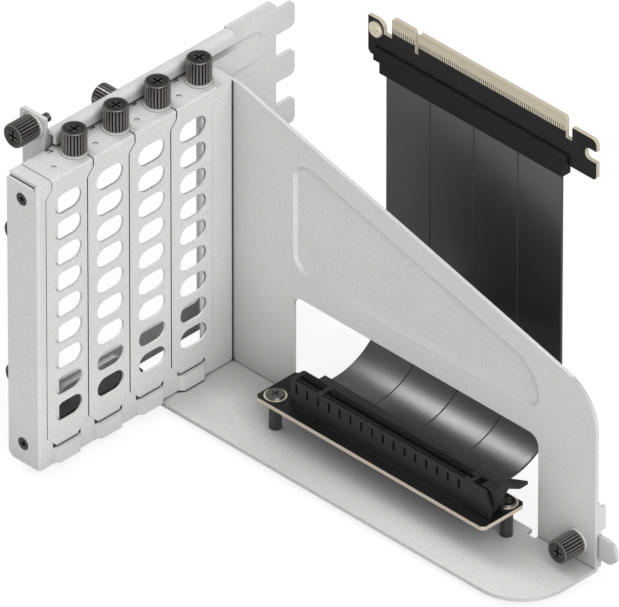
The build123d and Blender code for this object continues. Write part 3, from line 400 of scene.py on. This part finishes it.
def shank_rings(length, neck):
    """Rings of the shank from its tip up to the seat; a neck is plain and thicker."""
    rings = [(-length, shank_tip_radius, 0), (-length + shank_tip, shank_radius, 0)]
    turns = int((length - neck - shank_plain) / thread_pitch)
    for k in range(turns):
        root = -length + shank_plain / 2 + (k + 0.5) * thread_pitch
        rings += [(root, shank_radius - thread_depth, 0), (root + thread_pitch / 2, shank_radius, 0)]
    if neck:
        rings += [(-neck - undercut, undercut_radius, 0), (-neck - hairline, undercut_radius, 0),
                  (-neck, neck_radius, 0), (-hairline, neck_radius, 0)]
    else:
        rings += [(-hairline, shank_radius, 0)]
    return rings


blackened = Finish("blackened_knob", Metallic=0.9)
worn = blackened.node("NewGeometry", {}, {}, "Pointiness").rise(worn_from, worn_full)
ridges = blackened.mix(worn, (0.013, 0.0125, 0.012, 1), (0.25, 0.245, 0.24, 1))
# Painted shade: the knurl's valleys and the cross recess are darkened to near black.
valley_shade = blackened.openness(0.9).rise(valley_closed, valley_open)
blackened.feed("Base Color", blackened.mix(valley_shade, (0.004, 0.004, 0.004, 1), ridges))
blackened.matt(0.6, low=0.28, high=0.48)
blackened.relief(blackened.grain(0.25, detail=1), depth_mm=0.006)


def thumb_screw(node, way, neck=0.0):
    """A detailed screw in the place of a node, with its knob toward the given side."""
    low, high = (Vector(end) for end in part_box(node))
    axis = max(range(3), key=lambda i: abs(way[i]))
    end = (low + high) / 2
    end[axis] = high[axis] if way[axis] > 0 else low[axis]
    seat = end - Vector(way) * knob_height
    length = (high - low)[axis] - knob_height
    top_rings = [(knob_height - below, knob_radius - inset, share) for below, inset, share in knob_rings]
    body = turned(node + "_turned", shank_rings(length, neck) + top_rings)
    screw = carved(node + "_detailed", body, cross(node + "_cross"))
    screw.data.transform(Matrix.Translation(seat) @ facing_turn(way).to_matrix().to_4x4())
    screw.data.materials.clear()
    screw.data.materials.append(blackened.material)
    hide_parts(node)
    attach(screw, "mount")


upward = (0, 0, 1)
sideways = (0, -1, 0)
rearward = (-1, 0, 0)
for n in (1, 2, 3, 4):
    thumb_screw("cover_screw_" + str(n), upward)
for n in (1, 2, 3):
    thumb_screw("chassis_screw_" + str(n), sideways, neck_length)
for end in ("upper", "lower"):
    thumb_screw("clamp_screw_" + end, rearward)
thumb_screw("stay_screw", sideways)

# Collars under the knobs: plain white rings, moulded in nylon. One lies loose on each
# screw between the knob and the sheet and keeps the knob off the paint.
collar = Finish("white_collar", Roughness=0.5)
collar.tint(4, low=(0.60, 0.60, 0.59, 1), high=(0.68, 0.68, 0.67, 1))
collar.relief(collar.grain(0.5), depth_mm=0.01, edge_mm=0.25)
coat(collar, "cover_washers", "chassis_washers", "stay_washer", "clamp_spacers")

# Slide bars, posts and wall screws: steel machined to a smooth face and blackened in an
# oxide bath. The bars lie inside the frame, the screws hold the bars' ends and join the
# bracket to the frame, and the posts carry the socket board.
oxide = Finish("dark_oxide_steel", Metallic=0.8)
oxide.tint(2, low=(0.055, 0.055, 0.056, 1), high=(0.11, 0.11, 0.11, 1))
oxide.matt(0.8, low=0.34, high=0.54)
oxide.relief(oxide.grain(0.3), depth_mm=0.008, edge_mm=0.15)
coat(oxide, "slide_bar_upper", "slide_bar_lower", "end_wall_screws", "bracket_side_screws", "board_posts")

# Foot pad: a disc of soft black rubber, die-cut from a sheet, with a dull open grain. It
# is stuck under the far end of the shelf and carries the part.
pad_rubber = Finish("pad_rubber", Roughness=0.8)
pad_rubber.tint(1.5, low=(0.02, 0.02, 0.02, 1), high=(0.035, 0.035, 0.035, 1))
pad_rubber.relief(pad_rubber.grain(0.4), depth_mm=0.03)
coat(pad_rubber, "foot_pad")

# Circuit boards: glass laminate with black solder mask on both faces, and bare cream
# laminate on the routed edges all round. The socket board lies flat on its posts, and the
# edge board stands upright, its blade plated pale gold on both faces up to the tip.
strip_low, strip_high = ((Vector(end) - corner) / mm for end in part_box("edge_contacts"))
blade_margin = 1.4
blade_foot = 0.3
masked_from = 0.7


def gold_plate(finish):
    """The uneven pale gold of a plated contact."""
    return finish.mix(finish.grain(1.0), (0.78, 0.70, 0.53, 1), (0.91, 0.84, 0.67, 1))


def board_finish(name, flat_axis, has_blade):
    """Black on the faces across one axis, bare laminate on the others, and gold on a blade."""
    board = Finish(name, Specular_IOR_Level=0.22)
    masked = board.facing(flat_axis) > masked_from
    fibre = board.mix(board.grain(0.4), (0.54, 0.47, 0.37, 1), (0.70, 0.63, 0.52, 1))
    mask = board.mix(board.grain(6), (0.009, 0.0085, 0.009, 1), (0.014, 0.013, 0.014, 1))
    colour = board.mix(masked, fibre, mask)
    if has_blade:
        across = board.along("X")
        blade = (across > strip_low.x - blade_margin) * (across < strip_high.x + blade_margin)
        blade = blade * (board.along("Z") > strip_low.z + blade_foot) * masked
        colour = board.mix(blade, colour, gold_plate(board))
        board.feed("Metallic", blade)
    board.feed("Base Color", colour)
    board.feed("Roughness", masked.span(low=0.62, high=0.42))
    board.relief(board.grain(0.35, detail=1), depth_mm=0.012)
    return board


coat(board_finish("black_flat_board", "Z", has_blade=False), "socket_board")
coat(board_finish("black_upright_board", "Y", has_blade=True), "edge_board")

# Plated rings on the socket board and screw of the edge board: copper and brass under a
# thin bright layer of pale gold. The rings lie on the board round its two screws, and the
# screw goes through the edge board's side tab.
gilt = Finish("pale_gilt", Metallic=0.65)
gilt.tint(1.5, low=(0.93, 0.85, 0.62, 1), high=(0.99, 0.94, 0.76, 1))
gilt.matt(0.5, low=0.24, high=0.38)
coat(gilt, "board_rings", "edge_screw")

# Contact strips: gold plated on the blade, one solid band at the tip and a comb of narrow
# fingers under it, with bare dark board between the fingers.
finger_pitch = 1.0
finger_width = 0.62
finger_length = 2.1
comb = Finish("gilt_comb", Roughness=0.3)
between = comb.along("X") % finger_pitch > finger_width
between = between * (comb.along("Z") < strip_low.z + finger_length)
comb.feed("Base Color", comb.mix(between, gold_plate(comb), (0.09, 0.075, 0.05, 1)))
comb.feed("Metallic", 1 - between)
coat(comb, "edge_contacts")

# Board screws: flat machine screws with a shallow cross, plated in dull nickel. They hold
# the socket board down on its two posts.
nickel = Finish("nickel", Metallic=1.0, Roughness=0.25)
nickel.tint(1.0, low=(0.13, 0.13, 0.126, 1), high=(0.22, 0.22, 0.213, 1))
nickel.relief(nickel.grain(0.5), depth_mm=0.006, edge_mm=0.2)
coat(nickel, "board_screws")

# Card socket and its latch: black glass-filled nylon straight from the mould. Rows of
# narrow pockets open in the socket's top on both sides of the slot. Every contact has a
# spring in its pocket and a bright solder tail on the board in front.
contact_pitch = 1.0 * mm
contact_start = place(48.9, 0, 0).x
contact_end = place(132.6, 0, 0).x
key_low = place(59.3, 0, 0).x
key_high = place(61.6, 0, 0).x
pocket_half_width = 0.28 * mm
pocket_near = 0.8 * mm
pocket_far = 2.9 * mm
pocket_depth = 1.6 * mm
spring_half_width = 0.2 * mm
spring_near = 0.9 * mm
spring_far = 1.3 * mm
spring_below_top = 0.6 * mm
tail_half_width = 0.22 * mm
tail_reach = 0.6 * mm
tail_height = 0.12 * mm
crease_closed = 0.3958
crease_open = 0.8125
socket_low, socket_high = (Vector(end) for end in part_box("card_socket"))
slot_middle = (socket_low.y + socket_high.y) / 2


def boxes(name, spans):
    """One mesh of plain boxes from their low and high corners."""
    shape = bmesh.new()
    for low, high in spans:
        size = Vector(high) - Vector(low)
        middle = (Vector(high) + Vector(low)) / 2
        place_box = Matrix.Translation(middle) @ Matrix.Diagonal((*size, 1))
        bmesh.ops.create_cube(shape, size=1, matrix=place_box)
    return mesh_of(name, shape)


def beside_slot(middle, half_width, near, far, bottom, top):
    """Two boxes at a contact, each from near to far off the middle of the slot."""
    spans = []
    for front, back in ((-far, -near), (near, far)):
        spans.append(((middle - half_width, slot_middle + front, bottom),
                      (middle + half_width, slot_middle + back, top)))
    return spans


pocket_spans = []
spring_spans = []
tail_spans = []
pocket_floor = socket_high.z - pocket_depth
for k in range(int((contact_end - contact_start) / contact_pitch)):
    middle = contact_start + k * contact_pitch
    if key_low < middle < key_high:
        continue
    pocket_spans += beside_slot(middle, pocket_half_width, pocket_near, pocket_far,
                                pocket_floor, socket_high.z + clearance)
    spring_spans += beside_slot(middle, spring_half_width, spring_near, spring_far,
                                pocket_floor, socket_high.z - spring_below_top)
    tail_spans.append(((middle - tail_half_width, socket_low.y - tail_reach, socket_low.z),
                       (middle + tail_half_width, socket_low.y, socket_low.z + tail_height)))
nylon = Finish("black_nylon", Specular_IOR_Level=0.4)
moulded = nylon.mix(nylon.grain(2.5), (0.012, 0.012, 0.012, 1), (0.020, 0.020, 0.021, 1))
# Painted shade: creases, grooves and pockets in the socket are darkened to near black.
crease_shade = nylon.openness(1.6).rise(crease_closed, crease_open)
nylon.feed("Base Color", nylon.mix(crease_shade, (0.001, 0.001, 0.001, 1), moulded))
nylon.matt(0.8, low=0.36, high=0.56)
nylon.relief(nylon.grain(0.3), depth_mm=0.008, edge_mm=0.18)
socket = carved("card_socket_detailed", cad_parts["card_socket"].data.copy(),
                boxes("contact_pockets", pocket_spans))
socket.data.materials.clear()
socket.data.materials.append(nylon.material)
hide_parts("card_socket")
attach(socket, "mount")
spring_steel = Finish("contact_spring", Metallic=1.0, Roughness=0.35)
spring_steel.tint(0.5, low=(0.30, 0.27, 0.22, 1), high=(0.46, 0.42, 0.34, 1))
solder = Finish("solder", Metallic=1.0, Roughness=0.3)
solder.tint(0.4, low=(0.35, 0.34, 0.30, 1), high=(0.62, 0.60, 0.54, 1))
for name, spans, finish in (("contact_springs", spring_spans, spring_steel),
                            ("solder_tails", tail_spans, solder)):
    row = add(name, boxes(name, spans))
    row.data.materials.append(finish.material)
    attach(row, "mount")
coat(nylon, "socket_latch")

# Upper ribbon clamp: a stepped bar of black nylon with an even satin skin, moulded round
# the ribbons' upper ends and the foot of the edge board.
clamp = Finish("clamp_nylon", Specular_IOR_Level=0.2)
clamp.tint(2.5, low=(0.009, 0.009, 0.009, 1), high=(0.014, 0.014, 0.014, 1))
clamp.matt(0.8, low=0.42, high=0.62)
clamp.relief(clamp.grain(0.4), depth_mm=0.01, edge_mm=0.25)
coat(clamp, "upper_ribbon_clamp")

# Lower ribbon clamp: a moulded bar of black nylon with fine ribs along its top. It holds
# the ribbons' lower ends down on the back of the socket board.
rib_pitch = 1.2083
ribbed = Finish("ribbed_nylon", Roughness=0.42)
ribbed.tint(2.5, low=(0.016, 0.016, 0.017, 1), high=(0.028, 0.028, 0.030, 1))
ribbed.relief(ribbed.waves("Y", rib_pitch), depth_mm=0.18)
coat(ribbed, "lower_ribbon_clamp")

# Ribbons: four flat bands of parallel wires in a satin black film, bent once and standing
# straight up to the edge board. A dull dark line where two bands meet is painted shade of their gap.
ribbon_low = (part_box("ribbon_1")[0][0] - corner.x) / mm
ribbon_pitch = (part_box("ribbon_2")[0][0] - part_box("ribbon_1")[0][0]) / mm
gap_shade_half_width = 0.3
gap_dullness = 0.6
wire_pitch = 0.79534
wire_share = 0.15
film = Finish("ribbon_film", IOR=1.8, Specular_IOR_Level=1.0)
# Painted shade: a thin dark line at each band's edge stands for the shaded gap between two bands, and it
# is also rougher.
gap_shade = (film.along("X") - ribbon_low + gap_shade_half_width) % ribbon_pitch < 2 * gap_shade_half_width
satin = film.mix(film.grain(9), (0.012, 0.012, 0.012, 1), (0.020, 0.020, 0.020, 1))
film.feed("Base Color", film.mix(gap_shade, satin, (0.002, 0.002, 0.002, 1)))
film.feed("Roughness", film.grain(0.8, detail=1).span(low=0.27, high=0.39) + gap_shade * gap_dullness)
film.relief(film.waves("X", wire_pitch) * wire_share + film.grain(0.9), depth_mm=0.014)
coat(film, "ribbon_1", "ribbon_2", "ribbon_3", "ribbon_4")

# Light: an even white room that lights the object less than it shows behind it, one broad
# lamp from the upper right that makes the covers brightest, and a small one from the upper
# left that draws a sheen along the ribbons' bend.
room_light = 0.40
world = bpy.data.worlds.new("room")
world.use_nodes = True
room = Network(world.node_tree)
sky = room.tree.nodes["Background"]
seen = room.node("LightPath", {}, {}, "Is Camera Ray")
seen = seen.join("MAXIMUM", room.node("LightPath", {}, {}, "Is Transmission Ray"))
sky.inputs["Color"].default_value = (1, 1, 1, 1)
room.tree.links.new(seen.span(room_light, 1).socket, sky.inputs["Strength"])
bpy.context.scene.world = world
for name, energy, spread, way in (("broad_lamp", 1.75, 50, (0.74, -0.34, 0.6)),
                                  ("sheen_lamp", 0.8, 24, (-0.577, -0.013, 0.814))):
    lamp_data = bpy.data.lights.new(name, "SUN")
    lamp_data.energy = energy
    lamp_data.angle = math.radians(spread)
    add(name, lamp_data).rotation_euler = facing_turn(way).to_euler()

# Floor: a wide sheet of white paper that reads as pure white and keeps the object's soft
# shadow. The camera sees most of it by a glow of its own, which lights nothing else.
floor_reach = 14
glow_strength = 1.3
glow_share = 0.62
floor_shape = bmesh.new()
bmesh.ops.create_grid(floor_shape, x_segments=1, y_segments=1, size=floor_reach)
floor = add("floor", mesh_of("floor", floor_shape))
paper = Finish("white_paper", Roughness=0.9, Base_Color=(0.7, 0.7, 0.7, 1))
seen = paper.node("LightPath", {}, {}, "Is Camera Ray")
glow = paper.node("Emission", {}, {"Color": (1, 1, 1, 1), "Strength": glow_strength})
plain = Flow(paper, paper.shader.outputs[0])
shown = paper.node("MixShader", {}, {0: seen * glow_share, 1: plain, 2: glow})
paper.tree.links.new(shown.socket, paper.tree.nodes["Material Output"].inputs["Surface"])
floor.data.materials.append(paper.material)
